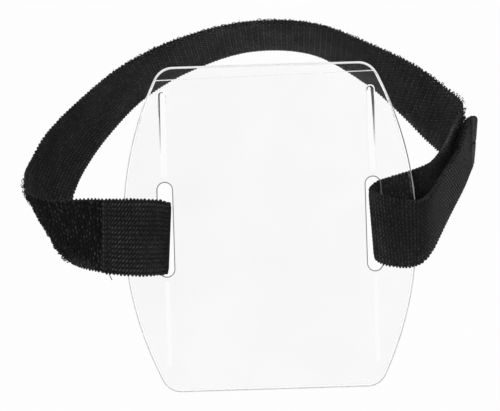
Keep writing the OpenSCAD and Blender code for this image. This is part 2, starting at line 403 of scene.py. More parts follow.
CORNER_STEPS = 10
SIDE_STEPS = 96
HALF_COUNT = 2 * CORNER_STEPS + SIDE_STEPS + 1
RIGHT_END = CORNER_STEPS + SIDE_STEPS
LEFT_START = 2 * HALF_COUNT - 1 - RIGHT_END
ROUND_STEPS = 16
CUT_W = 0.4
WELD_CORNER_W = 0.45
WELD_SIDE_W = 0.1
FUSE_W = 0.6
FUSE_LEAST = 0.03
WELD_NARROW = 0.5
WELD_WIDE = 0.85
MOUTH_WELD_W = 0.35
MOUTH_TILT = 0.013
FILM_T = 0.08
LIP_W = 0.18
LIP_STEPS = 24
SLOT_RIM = 0.35
SOFT_EDGE = 0.1
HOLE_EDGE = 0.02
WELD_FIT = 0.02
FLASH_W = 0.45
FLASH_L = 7
FLASH_INNER_L = 0.6


def arc(centre, r, start, end, steps):
    angle = np.linspace(start, end, steps + 1)
    return np.stack([centre[0] + r * np.cos(angle), centre[1] + r * np.sin(angle)], 1)


def half_outline(margin):
    """Right half of the barrel outline, a margin inside the outer edge, from the bottom up."""
    bow_r = (POCKET_H ** 2 / 4 + SIDE_BOW ** 2) / (2 * SIDE_BOW)
    bow_u = EDGE_U - bow_r
    r = CORNER_R - margin / 2
    corner_v = POCKET_H / 2 - margin - r
    corner_u = bow_u + math.sqrt((bow_r - margin - r) ** 2 - corner_v ** 2)
    meet = math.atan2(corner_v, corner_u - bow_u)
    bottom = arc((corner_u, -corner_v), r, -math.pi / 2, -meet, CORNER_STEPS)
    side = arc((bow_u, 0), bow_r - margin, -meet, meet, SIDE_STEPS)
    top = arc((corner_u, corner_v), r, meet, math.pi / 2, CORNER_STEPS)
    return np.concatenate([bottom, side[1:], top[1:]])


def mirrored(half):
    """A closed outline from its right half."""
    return np.concatenate([half, half[::-1] * [-1, 1]])


def full_outline(margin):
    return mirrored(half_outline(margin))


def corner_share(level):
    """0 below the upper corners of the pocket, rising softly to 1 at them."""
    share = np.clip((level / (POCKET_H / 2) - WELD_NARROW) / (WELD_WIDE - WELD_NARROW), 0, 1)
    return share * share * (3 - 2 * share)


def welded_half(margin):
    """Right half of the sheets' outline, drawn in where both are fused: not at the upper corners."""
    outer, inner = half_outline(margin), half_outline(margin + FUSE_W)
    share = 1 - (1 - FUSE_LEAST) * corner_share(outer[:, 1:])
    return outer + share * (inner - outer)


def welded_outline(margin):
    return mirrored(welded_half(margin))


def aslant_ends(half, level):
    """Both ends of a line across the pocket, a little aslant, on an outline given by its half."""
    ends = []
    for side in (1, -1):
        height = level + side * MOUTH_TILT * EDGE_U
        ends.append([side * np.interp(height, half[:, 1], half[:, 0]), height])
    return ends


def front_outline(margin):
    """The front sheet's outline, cut off below the back sheet's top edge and a little aslant."""
    half = welded_half(margin)
    kept = half[:RIGHT_END - 2]
    ends = aslant_ends(half, POCKET_H / 2 - MOUTH_DROP - margin + CUT_W)
    return np.concatenate([kept, ends, kept[::-1] * [-1, 1]])


def lip_path(margin):
    """Along the front sheet's top edge, from right to left, a margin above it."""
    right, left = aslant_ends(half_outline(CUT_W + WELD_FIT), POCKET_H / 2 - MOUTH_DROP + margin)
    return np.linspace(right, left, LIP_STEPS)


def rim_path(margin, outline=full_outline):
    """Down the right side, along the bottom and up the left side."""
    ring = outline(margin)
    return np.concatenate([ring[LEFT_START:], ring[:RIGHT_END + 1]])


def mouth_path(margin):
    """Round the top corners and along the top edge, from right to left."""
    return full_outline(margin)[RIGHT_END:LEFT_START + 1]


def pill(u, v, width, length):
    """A function that draws a bar with round ends along v, grown by a margin on each side."""
    def draw(margin):
        r, reach = width / 2 + margin, (length - width) / 2
        top = arc((u, v + reach), r, 0, math.pi, ROUND_STEPS)
        bottom = arc((u, v - reach), r, math.pi, 2 * math.pi, ROUND_STEPS)
        return np.concatenate([top, bottom])
    return draw


def arch(side):
    """A function that draws an arch over the end of an upper weld bar, outside it by a margin."""
    def draw(margin):
        r, top = BAR_W / 2 + margin, BAR_V + (BAR_L - BAR_W) / 2
        cap = arc((SLOT_U, top), r, 0, math.pi, ROUND_STEPS)
        legs = [[SLOT_U + r, top - FLASH_L]], [[SLOT_U - r, top - FLASH_INNER_L]]
        return np.concatenate([legs[0], cap, legs[1]]) * [side, 1]
    return draw


def oval(first, last, low, high, power=2.6, count=14):
    """A rounded cross-section between two margins and two heights, as pairs of both."""
    angle = np.arange(count) * 2 * math.pi / count
    x = np.sign(np.cos(angle)) * np.abs(np.cos(angle)) ** (2 / power)
    y = np.sign(np.sin(angle)) * np.abs(np.sin(angle)) ** (2 / power)
    margins = (first + last) / 2 + (last - first) / 2 * x
    heights = (low + high) / 2 + (high - low) / 2 * y
    return list(zip(margins, heights))


def strip(inner, outer, width):
    """A function that draws lines between two paths, at a share of a width that varies along them."""
    def draw(share):
        return outer + share * width[:, None] * unit(inner - outer)
    return draw


def bead(name, path, section, material, closed=False):
    """A rounded bead whose cross-section follows a path on the pocket."""
    lines = [np.column_stack([path(m), np.full(len(path(m)), n)]) for m, n in section]
    points = on_pocket(np.stack(lines, 1))
    rows, ring = points.shape[:2]
    faces = grid_faces(rows, ring, True).tolist() if closed else capped_faces(rows, ring)
    piece = new_piece(name, points, faces, [material])
    face_outwards(piece)
    shade_smooth(piece)
    return piece


def plate(name, outlines, low, high, material, soft):
    """A flat sheet with softened edges: the first outline is its outside, the others are holes."""
    points, faces, ends = [], [], [[], []]
    for draw in outlines:
        edge = HOLE_EDGE if points else soft
        steps = [(edge, low), (0, low + edge), (0, high - edge), (edge, high)]
        first = len(points)
        for margin, n in steps:
            line = draw(margin)
            points += [[u, v, n] for u, v in line]
        count = len(line)
        faces += (grid_faces(len(steps), count) + first).tolist()
        ends[0].append(list(range(first, first + count)))
        ends[1].append(list(range(first + 3 * count, first + 4 * count)))
    for loops in ends:
        order = [k for loop in loops for k in loop]
        lines = [[Vector(points[k][:2] + [0]) for k in loop] for loop in loops]
        faces += [[order[k] for k in corner] for corner in tessellate_polygon(lines)]
    piece = new_piece(name, on_pocket(points), faces, [material])
    face_outwards(piece)
    return piece


def inside(draw, margin):
    """The same outline with its margin counted from another one."""
    return lambda extra: draw(margin + extra)


def weld_width():
    """Width of the welded strip along the rim: wide at the upper corners and narrow below them."""
    return WELD_SIDE_W + (WELD_CORNER_W - WELD_SIDE_W) * corner_share(rim_path(0)[:, 1])


# Painted refraction on the rim: grey sides, pale upper corners, dark where the black strap lies beside its
# right side
RIM_SHADE_V = 27
RIM_SHADE_L = 14
RIM_GREY = 0.22
RIM_PALE_V = 34
RIM_PALE_L = 6


def rim_shade():
    """How dark the rim is painted, as painted refraction: pale at the upper corners, grey below them, and
    dark where the black strap shows in its right side.
    """
    u, v = rim_path(0).T
    grey = RIM_GREY * (1 - np.clip((v - RIM_PALE_V) / RIM_PALE_L, 0, 1))
    return np.maximum(grey, np.exp(-((v - RIM_SHADE_V) / RIM_SHADE_L) ** 4) * (u > 0))


# Painted refraction streaks beside the upper weld bars: their size and how they fade
STREAK_L = 20
STREAK_END_W = 0.35
STREAK_HALF_T = 0.3
STREAK_TURNS = 14
STREAK_STEPS = 40
STREAK_RING = 8
STREAK_STRENGTH = 0.85
STREAK_HOLD = 1.25
WRAP_STRENGTH = 0.35


def painted_refraction_streak(name, side, width, wrap):
    """A painted refraction streak, grey round the end of an upper weld bar and down its outer side, where
    it fades out.
    """
    top = BAR_V + BAR_L / 2 - BAR_W / 2
    turn = np.linspace(math.radians(wrap), 0, STREAK_TURNS)
    cap = arc((0, top), BAR_W / 2, turn[0], 0, STREAK_TURNS - 1)
    levels = np.linspace(top, top - STREAK_L, STREAK_STEPS)
    down = np.stack([np.full(STREAK_STEPS, BAR_W / 2), levels], 1)
    line = np.concatenate([cap, down[1:]])
    fall = np.clip((top - line[:, 1]) / STREAK_L, 0, 1)
    breadth = width + (STREAK_END_W - width) * np.sqrt(fall)
    facing = np.cos(turn)
    breadth[:STREAK_TURNS] = STREAK_END_W + (width - STREAK_END_W) * np.maximum(facing, 0) ** 2
    run = np.gradient(line, axis=0)
    inwards = np.stack([run[:, 1], -run[:, 0]], 1)
    outer, inner = ([side, 1] * (path + [SLOT_U, 0]) for path in (line, line + inwards))
    section = oval(0, 1, -STREAK_HALF_T, STREAK_HALF_T, power=2, count=STREAK_RING)
    piece = bead(name, strip(inner, outer, breadth), section, refraction_streak_vinyl)
    strength = STREAK_STRENGTH * np.clip(STREAK_HOLD * (1 - fall), 0, 1)
    strength[:STREAK_TURNS] = WRAP_STRENGTH + (STREAK_STRENGTH - WRAP_STRENGTH) * facing ** 2
    set_values(piece, "strength", np.repeat(strength, STREAK_RING))
    return piece


HALF_T = POCKET_T / 2
HALF_GAP = CARD_GAP / 2
slots = [pill(side * SLOT_U, 0, SLOT_W, SLOT_L) for side in (-1, 1)]
bars = []
for bar_u in (-SLOT_U, SLOT_U):
    bars.append(pill(bar_u, BAR_V, BAR_W, BAR_L))
    bars.append(pill(bar_u, -BAR_V, LOWER_BAR_W, BAR_L))


def sheets():
    """The back sheet and the lower front sheet, with holes for the slots and the weld bars."""
    holes = [inside(draw, SLOT_RIM + WELD_FIT) for draw in slots]
    holes += [inside(draw, WELD_FIT) for draw in bars]
    back = plate("back_sheet_clear", [inside(welded_outline, CUT_W + WELD_FIT)] + holes,
                 -HALF_T, -HALF_GAP, patched_grey_vinyl, SOFT_EDGE)
    front = plate("front_sheet_clear", [inside(front_outline, CUT_W + WELD_FIT)] + holes,
                  HALF_GAP, HALF_T, clear_vinyl, SOFT_EDGE)
    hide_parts("back_sheet")
    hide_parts("front_sheet")
    return [back, front]


def rim():
    """The cut edge all round, and the fused band, the weld and the front sheet's lip inside it."""
    section = oval(0, CUT_W, -HALF_T, HALF_T)
    edge = bead("rim_edge", rim_path, section, rim_vinyl)
    set_values(edge, "shade", np.repeat(rim_shade(), len(section)))
    mouth = bead("mouth_edge", mouth_path, oval(0, CUT_W, -HALF_T, -HALF_GAP), edge_vinyl)
    outer_rim, inner_rim = rim_path(CUT_W), rim_path(CUT_W, welded_outline)
    band_w = np.linalg.norm(inner_rim - outer_rim, axis=1)
    fused_band = bead("rim_fused", strip(inner_rim, outer_rim, band_w),
                      oval(0, 1, -HALF_T, HALF_T, power=10), pressed_vinyl)
    weld = bead("rim_weld", strip(rim_path(CUT_W + FUSE_W + 1), inner_rim, weld_width()),
                oval(0, 1, WELD_FIT - HALF_GAP, HALF_GAP - WELD_FIT), welded_vinyl)
    film = bead("mouth_weld", inside(mouth_path, CUT_W),
                oval(0, MOUTH_WELD_W, WELD_FIT - HALF_GAP, FILM_T - HALF_GAP), welded_vinyl)
    lip = bead("front_lip", lip_path, oval(0, LIP_W, HALF_GAP, HALF_T), lip_vinyl)
    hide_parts("edge_weld")
    return [edge, mouth, fused_band, weld, film, lip]


def slot_edges():
    """The cut edges of both slots."""
    section = oval(0, SLOT_RIM, -HALF_T, HALF_T)
    return [bead("slot_edge_" + side, draw, section, slot_vinyl, closed=True)
            for side, draw in zip(("left", "right"), slots)]


def weld_bars():
    """The four weld bars, with a flash over the upper ones and a painted refraction streak beside them."""
    flash = oval(WELD_FIT, WELD_FIT + FLASH_W, WELD_FIT - HALF_GAP, HALF_GAP - WELD_FIT)
    pieces = []
    for side, name in ((-1, "left"), (1, "right")):
        pieces.append(bead("weld_flash_" + name, arch(side), flash, welded_vinyl))
    for name, draw in zip(("upper_left", "lower_left", "upper_right", "lower_right"), bars):
        bar = plate("weld_bar_" + name, [lambda margin, d=draw: d(-margin)],
                    BAR_PRESS - HALF_T, HALF_T - BAR_PRESS, pressed_vinyl, HOLE_EDGE)
        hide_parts("weld_" + name)
        pieces.append(bar)
    # Painted refraction streaks beside the upper weld bars
    pieces.append(painted_refraction_streak("weld_refraction_streak_left", -1, width=0.5, wrap=110))
    pieces.append(painted_refraction_streak("weld_refraction_streak_right", 1, width=1.1, wrap=195))
    return pieces


def pocket():
    """The clear card pocket with its welds and slots."""
    for piece in sheets() + rim() + slot_edges() + weld_bars():
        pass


# Route of the strap: each row is a point on the upper edge and one on the lower edge

STRAP_W = 25
STRAP_T = 1.6
LOOP_HALF = 70
LOOP_REACH = 82
FOOT_LIFT = 0.25


def row_from(side, distance):
    """A function that reads rows counted outwards from a side or slot of the pocket."""
    def read(upper, lower):
        return [on_pocket([side * (distance + p[0]), p[1], p[2]]) for p in (upper, lower)]
    return read


left_row = row_from(-1, EDGE_U)
right_row = row_from(1, EDGE_U)
left_slot_row = row_from(-1, SLOT_U)
right_slot_row = row_from(1, SLOT_U)


def standing_row(x, y, lean_x, lean_y):
    """Where the lower edge stands, and how far the upper edge leans out from it."""
    out = math.hypot(lean_x, lean_y)
    foot = np.array([POCKET_MIDDLE[0] + x * LOOP_HALF, POCKET_MIDDLE[1] + y * LOOP_REACH,
                     FOOT_LIFT + STRAP_T / 2 * out / STRAP_W])
    return [foot + [lean_x, lean_y, math.sqrt(STRAP_W ** 2 - out ** 2)], foot]


flap_rows = [
    left_row([6.6, 10.8, 1], [7.3, -14, 1]),
    left_row([3.2, 10.6, 1.4], [3.7, -14.2, 1.4]),
    left_row([0.4, 10.4, 2.2], [0.8, -14.5, 2.2]),
    left_slot_row([7, 10.1, 2.4], [7, -14.9, 2.4]),
    left_slot_row([2, 10, 2.2], [2.6, -15, 2.2]),
    left_slot_row([-0.8, 9.7, 1.1], [0.7, -15.3, 1.1]),
    left_slot_row([-1.4, 9.6, -0.5], [0.3, -15.4, -0.5]),
    left_slot_row([0.5, 9.8, -2], [1.7, -15.2, -2]),
]
left_rows = [
    left_slot_row([4.5, 10.1, -2.4], [5, -14.9, -2.4]),
    left_row([-1, 10.3, -2.3], [-0.5, -14.6, -2.3]),
    left_row([3.5, 10.6, -1.2], [4, -14.3, -1.6]),
    left_row([9, 10.9, -0.5], [10, -13.2, -4.5]),
    left_row([16, 11, -0.5], [15.5, -11.8, -9]),
    left_row([25, 11.3, -2.5], [20, -9.8, -14]),
    left_row([32, 13.5, -7], [23, -6, -18.5]),
    left_row([33.9, 18.5, -12], [23.5, 2, -24]),
]
loop_rows = [
    standing_row(-0.985, 0.33, -13.4, 2),
    standing_row(-0.93, 0.44, -12, 3),
    standing_row(-0.81, 0.6, -9.5, 1.5),
    standing_row(-0.63, 0.775, -6, 0.5),
    standing_row(-0.385, 0.91, -3, -0.5),
    standing_row(-0.07, 1, -1, -2),
    standing_row(0.26, 0.975, 0, -1.5),
    standing_row(0.535, 0.815, 1.5, 2),
    standing_row(0.7, 0.66, 5.2, 6),
    standing_row(0.82, 0.53, 6.8, 8),
]
right_rows = [
    right_row([18.2, 40.5, -18.5], [12.5, 25.5, -32.5]),
    right_row([17, 37, -13.5], [15.4, 20.2, -30.4]),
    right_row([14.5, 32.5, -8.5], [16.2, 14.2, -26]),
    right_row([10.3, 25.7, -2.5], [13, 7.5, -20]),
    right_row([5.7, 20, 0.3], [8, 1, -14.5]),
    right_row([1, 17.3, -1.9], [3, -4, -10.5]),
    right_row([-4, 16.4, -2.4], [-1, -7.3, -6.5]),
    right_slot_row([5.5, 15.5, -2.3], [9, -9.2, -3.8]),
]
fold_rows = [
    right_slot_row([1.7, 14.5, -1.9], [3.7, -11, -2.6]),
    right_slot_row([-0.4, 13.4, -0.3], [1.1, -12.3, -1.4]),
    right_slot_row([-1.1, 12.4, 2.3], [0.4, -13.1, 0.3]),
    right_slot_row([-0.2, 11.2, 5.2], [1.5, -13.7, 1.8]),
]
tail_rows = [
    right_slot_row([2.1, 9.4, 8.2], [4, -14, 2.5]),
    right_slot_row([6, 7.6, 11], [8, -14.3, 2.9]),
    right_row([-3.5, 6.6, 13], [-2.5, -14.2, 2.9]),
    right_row([1, 6.9, 13.8], [1.6, -12.8, 1.6]),
    right_row([3.6, 9.2, 12.6], [5.6, -9, -3.2]),
    right_row([6.2, 12.7, 9.6], [9.6, -2.8, -9.5]),
    right_row([9.9, 17.4, 5], [13.9, 4.2, -15.5]),
    right_row([15.4, 25, -1.5], [18, 10.8, -21]),
    right_row([19.6, 35, -8.2], [21.2, 16.2, -26]),
    right_row([22.5, 35.8, -10.5], [22.7, 19.6, -29]),
]
route = np.array(flap_rows + left_rows + loop_rows + right_rows + fold_rows + tail_rows)


def smooth(points, steps):
    """Points on a smooth curve through the given ones."""
    ends = np.concatenate([[2 * points[0] - points[1]], points, [2 * points[-1] - points[-2]]])
    t = (np.arange(steps) / steps)[:, None]
    parts = []
    for p0, p1, p2, p3 in zip(ends, ends[1:], ends[2:], ends[3:]):
        parts.append(0.5 * (2 * p1 + (p2 - p0) * t + (2 * p0 - 5 * p1 + 4 * p2 - p3) * t ** 2
                            + (3 * p1 - p0 - 3 * p2 + p3) * t ** 3))
    return np.concatenate(parts + [points[-1:]])


KNIT_STEP = 0.2
ROUTE_STEPS = 24
upper_edge = smooth(route[:, 0], ROUTE_STEPS)
lower_edge = smooth(route[:, 1], ROUTE_STEPS)
strides = np.linalg.norm(np.diff((upper_edge + lower_edge) / 2, axis=0), axis=1)
lengths = np.concatenate([[0], np.cumsum(strides)])
STRAP_L = lengths[-1]
ROWS = int(round(STRAP_L / KNIT_STEP)) + 1
place = np.linspace(0, STRAP_L, ROWS)


def resample(line):
    """The line's points at even distances along the strap."""
    return np.stack([np.interp(place, lengths, line[:, k]) for k in range(3)], 1)


upper_edge, lower_edge = resample(upper_edge), resample(lower_edge)
middle = (upper_edge + lower_edge) / 2
across = unit(upper_edge - lower_edge)
out = unit(np.cross(np.gradient(middle, axis=0), across))
along = np.cross(across, out)


def row_at(point):
    """The strap's row nearest to a point in metres."""
    return int(np.argmin(np.linalg.norm(middle - np.array(point) / MM, axis=1)))


joint_rows = {j["name"]: row_at(j["pos_m"]) for j in frame["joints"]}
TAIL_ROW = joint_rows["tail_peel"]
TAB_ROW = joint_rows["tab_peel"]
LAST_ROW = ROWS - 1

# Strap

KNIT_COLUMNS = 120
PILE_COLUMNS = 64
ROW_PITCH = STRAP_W / 16
DASH_PITCH = 1.19
STITCH_PITCH_BACK = 1.05
COLUMN_PITCH = 1.18
TICK_PITCH = STRAP_W / 17
SEWN_L = 30
SEAM_INSET = 2.2
TURN_BACK = 24
TURN_L = 6
TWILL_TURN = 0.58
# A rise along the strap is its start and its length
SMOOTH_RISE = (9, 8)
ARCH_RISE = (120, 30)
TWILL_RISE = (344, 8)
CROSS_RISE = (344, 24)
FAINT_RISE = (222, 20)
SELVAGE_RISE = (352, 8)
CROSS_PITCH = 1.82
CROSS_PITCH_W = 4.2
STROKE_COLUMN = 1.28
STROKE_PITCH = 1.82
STROKE_TONE = 0.95
KNIT_BASE = 0.1
KNIT_LIFT = 0.65
SLANT_TONE = 1.12
PLAIN_TONE = 0.25
ROW_TONE = 0.66
COLUMN_TONE = 1.25
# The rib and twill tones along the tail carry the knit's own contrast together with painted light,
# lightest where the tail turns up
RIB_PLACES = (326, 333, 338, 345)
RIB_TONES = (1.15, 1.05, 0.57, 0.55)
TWILL_PLACES = (344, 351, 358, 366, 372, 378, 390)
TWILL_TONES = (0.75, 0.8, 1.2, 1.75, 1.95, 1.4, 0.95)
SELVAGE = 0.6
SELVAGE_W = -11.6
# Painted light and shade on the knit face, set region by region along and across the strap
SLOPE_PLACES = (30, 96, 110, 140, 170, 204, 220, 240, 252, 268, 336, 348, 358, 366, 372, 380, 390)
SLOPE_TONES = (0, 0.35, 0.4, 0.25, 0.2, 0.55, 0.65, 0.2, 0.1, -0.2, 0, 0.5, 0.6, 0.2, 0.15, 0.55, 0.65)
LEVEL_PLACES = (30, 84, 94, 150, 172, 196, 210, 234, 246, 256, 270, 330)
LEVEL_TONES = (1, 1.45, 0.92, 0.85, 0.92, 1.05, 1, 0.8, 0.9, 1.08, 1.02, 1)
LOWER_PLACES = (0, 24, 84, 120, 180, 215, 255, 272, 330, 350, 394)
LOWER_TONES = (0.3, 0.25, 0.25, 0.1, 0.3, 1, 1, 0.2, 0.4, 0.6, 0.8)
LOWER_SPREAD = 3.5
UPPER_TONE = 0.35
UPPER_SPREAD = 2.5
UPPER_END = 280
# A patch on the strap is an amount, its place along the strap and its spread
RUBBED = (0.7, 118, 28)
RUBBED_RISE_W = (-3, 8)
RUBBED_TONE = 0.42
# Painted light in the shadowed gap behind the tail at the right bend, lifting the pile face out of its
# shade
SHADE_PLACES = (272, 280, 304, 310, 316, 320, 326, 336)
SHADE_TONES = (0, 0.22, 0.34, 0.12, 0.08, 0.1, 0.45, 0)
DEEP = (1, 291, 11)
DEEP_W = 4.5
DEEP_SPREAD_W = 3.2
FRINGE = (0.6, 61, 12)
FRINGE_SPREAD_W = 3.6
CREST_PLACE = 276
# Painted highlight along the crest of the right bend
CREST_HIGHLIGHT = (0.9, CREST_PLACE, 5)
CREST_BULGE = (1.3, CREST_PLACE, 5)
CREST_FOOT = 2
FOLD_PLACE = 73
# Painted highlight across the left fold
FOLD_HIGHLIGHT = (0.3, FOLD_PLACE, 3.5)
FOLD_BULGE = (0.9, FOLD_PLACE, 10)
KNIT_HEIGHT = 0.22
PILE_HEIGHT = 0.25
EDGE_ROUND = 2.0
SCALLOP_PITCH = 1.24
SCALLOP = 0.16
SWELL = (0.5, 12, 8)
SLOT_PINCHES = ((0.6, 23.5, 3), (0.6, 328, 3))
BEND_PINCHES = ((0.4, 80, 5), (0.9, 270, 5))
FUSED_L = 0.8
CREASE_W = 0.2
CREASE_HALF_W = 0.75
TAB_CREASE_L = 6
TIP_L = 3
TIP_START_L = 0.8
TIP_PLACES = (-12.5, -4, 12.5)
TIP_TONES = (0.35, 0.65, 0.35)
knit_tones = rng.uniform(0.55, 1, (1000, 40))
pile_tones = rng.uniform(0.15, 1, (1000, 40))
pile_shifts = rng.uniform(0, 1, (1000, 1))
knit_shifts = rng.uniform(-0.15, 0.15, (1000, 1))


def wave(turns):
    return 0.5 + 0.5 * np.cos(2 * math.pi * turns)


def above(low, share):
    """From a low value to 1, by a share."""
    return low + (1 - low) * share


def near(s, where, spread):
    """1 at a place along the strap, falling off to both sides."""
    return np.exp(-((s - where) / spread) ** 2)


def patch(s, amount, where, spread):
    """An amount at a place along the strap, falling off to both sides."""
    return amount * near(s, where, spread)


def cells(tones, i, j):
    """The tone of each stitch, by its place in the knit."""
    return tones[np.round(i).astype(int) % tones.shape[0], np.round(j).astype(int) % tones.shape[1]]


def step_up(s, start, length):
    """0 before a place along the strap, rising to 1 over a length."""
    return np.clip((s - start) / length, 0, 1)


def painted_light_across(s, w):
    """Painted light and shade on the yarn, set region by region along the strap: lighter towards the lower
    edge, and a little along the upper edge.
    """
    slope = np.interp(s, SLOPE_PLACES, SLOPE_TONES)
    lower = np.interp(s, LOWER_PLACES, LOWER_TONES) * near(w, -STRAP_W / 2, LOWER_SPREAD)
    upper = UPPER_TONE * near(w, STRAP_W / 2, UPPER_SPREAD) * (s < UPPER_END)
    return np.interp(s, LEVEL_PLACES, LEVEL_TONES) * (1 - slope * 2 * w / STRAP_W + lower + upper)


def knit_height(s, w):
    """Stitches from 0 to 1: slanted on the sewn end, staggered round the loop, ribbed on the tail."""
    row, column, back = w / ROW_PITCH, s / COLUMN_PITCH, s / STITCH_PITCH_BACK
    rows = wave(row)
    sewn = 1 - step_up(s, SEAM_INSET, 0.6)
    plain = 0.85 * step_up(s, *SMOOTH_RISE)
    dashes = wave(s / DASH_PITCH - row) ** 3 * (1 - plain) * (1 - 0.5 * sewn) + PLAIN_TONE * plain
    ridges = above(0.1 + 0.25 * plain, rows)
    slanted = SLANT_TONE * ridges * dashes * (1 - 0.8 * near(s, SEAM_INSET, 0.3))
    rowed = above(0.3, rows) * above(0.3, wave(back + 0.5 * (np.round(row) % 2)))
    rubbed = patch(s, *RUBBED) * step_up(w, *RUBBED_RISE_W)
    rowed = ROW_TONE * (rowed * (1 - rubbed) + RUBBED_TONE * rubbed)
    faint = 0.22 * step_up(s, *FAINT_RISE)
    dotted = above(0.1 + faint, wave(row + 0.5 * (np.round(back) % 2)))
    columned = above(0.35 + faint, wave(back)) * above(0.7, wave(back / 2)) * dotted
    columned = columned * COLUMN_TONE * (1 - 1.6 * faint)
    shift = cells(knit_shifts, column, 0 * column)
    ticks = above(0.3, wave(column - w / TICK_PITCH + shift) ** 2)
    ribbed = np.interp(s, RIB_PLACES, RIB_TONES) * above(0.25, wave(column) ** 2) * ticks
    rising = step_up(s, *CROSS_RISE)
    lines = wave(column + (1 - TWILL_TURN * rising) * row) ** (1.5 + rising)
    crossing = 0.1 + 0.85 * wave(s / CROSS_PITCH - w / CROSS_PITCH_W)
    dots = above(0.2, rows) * (1 - rising) + crossing * rising
    twilled = np.interp(s, TWILL_PLACES, TWILL_TONES) * lines * dots
    twilled = np.maximum(twilled, SELVAGE * near(w, SELVAGE_W, 0.6) * step_up(s, *SELVAGE_RISE))
    arched = step_up(s, *ARCH_RISE)
    looped = step_up(s, SEWN_L, 1)
    tailed = step_up(s, place[TAIL_ROW] - TURN_BACK, TURN_L)
    turned = step_up(s, *TWILL_RISE)
    ribs = ribbed * (1 - turned) + twilled * turned
    loop = rowed * (1 - arched) + columned * arched
    stitches = slanted * (1 - looped) + (loop * (1 - tailed) + ribs * tailed) * looped
    return KNIT_BASE + KNIT_LIFT * stitches * cells(knit_tones, column, row) * painted_light_across(s, w)


def pile_height(s, w):
    """Short strokes of brushed loops, from 0 to 1, with painted light in the shaded gap at the right bend
    and painted highlights on the crests of the bends.
    """
    column = s / STROKE_COLUMN
    stroke = w / STROKE_PITCH + cells(pile_shifts, column, 0 * column)
    jitter = 0.7 * (cells(pile_tones, stroke, column) - 0.5)
    strokes = wave(column + jitter) ** 2 * above(0.15, wave(stroke))
    strokes = STROKE_TONE * strokes * cells(pile_tones, column, stroke)
    # Painted light that lifts the pile face where it lies in shadow, in place of its strokes
    shadow_lift = np.interp(s, SHADE_PLACES, SHADE_TONES)
    shadow_lift = shadow_lift + patch(s, *DEEP) * near(w, DEEP_W, DEEP_SPREAD_W)
    low_edge = near(w, -STRAP_W / 2, FRINGE_SPREAD_W)
    high_edge = near(w, STRAP_W / 2, FRINGE_SPREAD_W)
    # A lighter fringe by the lower edge, and painted highlights on the crests of the bends
    fringe_and_highlights = patch(s, *FRINGE) * low_edge
    fringe_and_highlights = fringe_and_highlights + patch(s, *CREST_HIGHLIGHT) * high_edge
    fringe_and_highlights = fringe_and_highlights + patch(s, *FOLD_HIGHLIGHT)
    return shadow_lift + fringe_and_highlights + strokes * np.maximum(1 - 2 * shadow_lift, 0)


def fused(s, w):
    """How far the cut ends are melted: in beads at the sewn end, smooth at the tip."""
    sewn = np.clip(1 - s / FUSED_L, 0, 1) * (0.1 + 0.3 * wave(w / ROW_PITCH) ** 2)
    tip = step_up(s, STRAP_L - TIP_L, TIP_START_L) * np.interp(w, TIP_PLACES, TIP_TONES)
    return np.maximum(sewn, tip)


def half_width(s, upper):
    """Width from the middle to an edge: scalloped, swollen on the sewn end, pinched in slots and bends."""
    scallops = SCALLOP * (wave(s / SCALLOP_PITCH) - 1)
    pinch = sum(patch(s, *values) for values in SLOT_PINCHES)
    bends = sum(patch(s, *values) for values in BEND_PINCHES)
    return STRAP_W / 2 + scallops + patch(s, *SWELL) - pinch - upper * bends


def bulge(s, w):
    """How far the strap bows out to its pile face, on the left fold and on the crest of the right bend."""
    fold = patch(s, *FOLD_BULGE) * (1 - (2 * w / STRAP_W) ** 2)
    crest = np.sin(math.pi * np.clip((w - CREST_FOOT) / (STRAP_W / 2 - CREST_FOOT), 0, 1))
    return fold + patch(s, *CREST_BULGE) * crest


def side_rows(columns, sign, height, amount):
    """Points of one face of the strap, from one edge to the other, and their raised values."""
    share = np.linspace(1, -1, columns + 1)[None, :]
    s = place[:, None]
    half = half_width(s, share > 0)
    w = share * half
    inset = np.clip((np.abs(w) - (half - EDGE_ROUND)) / EDGE_ROUND, 0, 1)
    round_off = np.sqrt(np.maximum(1 - inset ** 2, 0))
    melted = fused(s, w)
    raised = height(s, share * STRAP_W / 2) * (1 - melted) + melted
    # Painted shade in the tab's crease: the yarn there is darker and sunk a little
    tab_crease_shade = near(w, CREASE_W, CREASE_HALF_W) * (s > STRAP_L - TAB_CREASE_L)
    raised = raised * (1 - tab_crease_shade)
    h = sign * round_off * (STRAP_T / 2 + amount * (raised - 0.5)) - bulge(s, share * STRAP_W / 2)
    points = middle[:, None] + w[..., None] * across[:, None] + h[..., None] * out[:, None]
    return points, raised


def strap_skin():
    """Points round the whole strap, row by row, with their raised values and their normals."""
    knit, knit_raised = side_rows(KNIT_COLUMNS, 1, knit_height, KNIT_HEIGHT)
    pile, pile_raised = side_rows(PILE_COLUMNS, -1, pile_height, PILE_HEIGHT)
    points = np.concatenate([knit, pile[:, -2:0:-1]], 1)
    raised = np.concatenate([knit_raised, pile_raised[:, -2:0:-1]], 1)
    turn = np.roll(points, -1, 1) - np.roll(points, 1, 1)
    return points, raised, unit(np.cross(turn, np.gradient(points, axis=0)))


def ribbon(name, skin, first, last, node):
    """A length of the elastic: knit on one face, brushed pile on the other."""
    points, raised, normals = (part[first:last + 1] for part in skin)
    count, ring = points.shape[:2]
    faces = capped_faces(count, ring)
    piece = new_piece(name, points, faces, [knit_fabric, pile_fabric], None)
    is_pile = np.tile(np.arange(ring) >= KNIT_COLUMNS, count - 1).astype(int).tolist() + [0, 0]
    piece.data.polygons.foreach_set("material_index", is_pile)
    shade_smooth(piece)
    piece.data.normals_split_custom_set_from_vertices(normals.reshape(-1, 3).tolist())
    set_values(piece, "raised", raised)
    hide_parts(node)
    return piece


